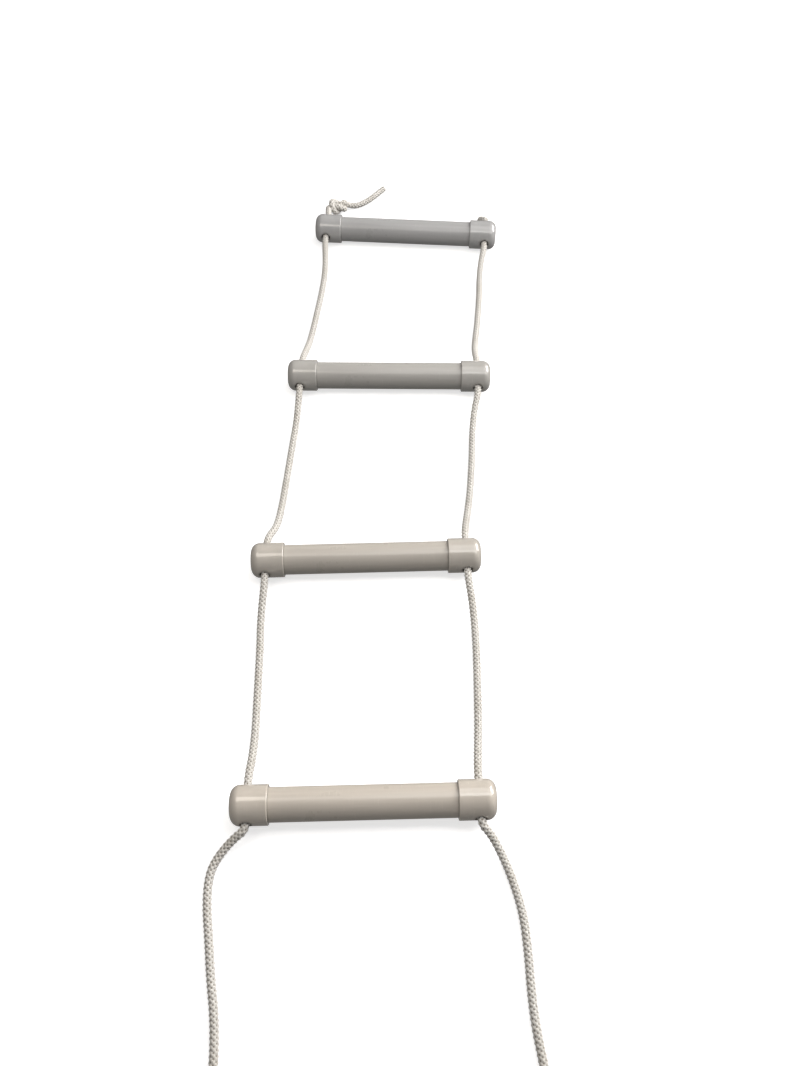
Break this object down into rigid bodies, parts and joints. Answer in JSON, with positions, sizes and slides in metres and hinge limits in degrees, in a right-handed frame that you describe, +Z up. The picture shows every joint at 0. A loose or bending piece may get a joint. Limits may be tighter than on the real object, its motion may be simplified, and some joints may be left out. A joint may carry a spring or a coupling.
{
  "type": "rope ladder",
  "caption": "Light rope ladder: capped plastic tube rungs threaded and knotted on a pair of braided ropes, whose free ends tie to an anchor.",
  "frame": {"origin": "on the surface that the ladder lies on, under the middle of the box round the rungs and the rope between them", "axes": "+Z up from the surface, +Y along the ladder away from the tie ropes, +X along the rungs to the right"},
  "size_m": [0.2909, 1.1868, 0.035],
  "materials": {
    "grip_tube": "semi-gloss cool grey rigid plastic tube",
    "end_cap": "glossy warm off-white moulded plastic",
    "rope": "white braided synthetic rope with a slight sheen"
  },
  "bodies": {
    "rung_1": {"rung_1_grip_tube": "grip_tube", "rung_1_cap_left": "end_cap", "rung_1_knot_left": "rope", "rung_1_cap_right": "end_cap", "rung_1_knot_right": "rope", "span_1_left_near_half": "rope", "span_1_right_near_half": "rope", "tie_rope_left": "rope", "tie_rope_left_coil": "rope", "tie_rope_right": "rope", "tie_rope_right_coil": "rope"},
    "rung_2": {"rung_2_grip_tube": "grip_tube", "rung_2_cap_left": "end_cap", "rung_2_knot_left": "rope", "rung_2_cap_right": "end_cap", "rung_2_knot_right": "rope", "span_1_left_far_half": "rope", "span_1_right_far_half": "rope", "span_2_left_near_half": "rope", "span_2_right_near_half": "rope"},
    "rung_3": {"rung_3_grip_tube": "grip_tube", "rung_3_cap_left": "end_cap", "rung_3_knot_left": "rope", "rung_3_cap_right": "end_cap", "rung_3_knot_right": "rope", "span_2_left_far_half": "rope", "span_2_right_far_half": "rope", "span_3_left_near_half": "rope", "span_3_right_near_half": "rope"},
    "rung_4": {"rung_4_grip_tube": "grip_tube", "rung_4_cap_left": "end_cap", "rung_4_rope_left": "rope", "rung_4_cap_right": "end_cap", "rung_4_rope_right": "rope", "span_3_left_far_half": "rope", "span_3_right_far_half": "rope", "rope_end_knot_left": "rope", "rope_end_tail_left": "rope", "rope_end_knot_right": "rope"}
  },
  "joints": [
    {"name": "span_1_bend", "type": "hinge", "parent": "rung_1", "child": "rung_2", "pos_m": [0, -0.2525, 0.004], "axis": [1, 0, 0], "range_deg": [-90, 90]},
    {"name": "span_2_bend", "type": "hinge", "parent": "rung_2", "child": "rung_3", "pos_m": [0, -0.0035, 0.004], "axis": [1, 0, 0], "range_deg": [-90, 90]},
    {"name": "span_3_bend", "type": "hinge", "parent": "rung_3", "child": "rung_4", "pos_m": [0, 0.2455, 0.004], "axis": [1, 0, 0], "range_deg": [-90, 90]}
  ]
}
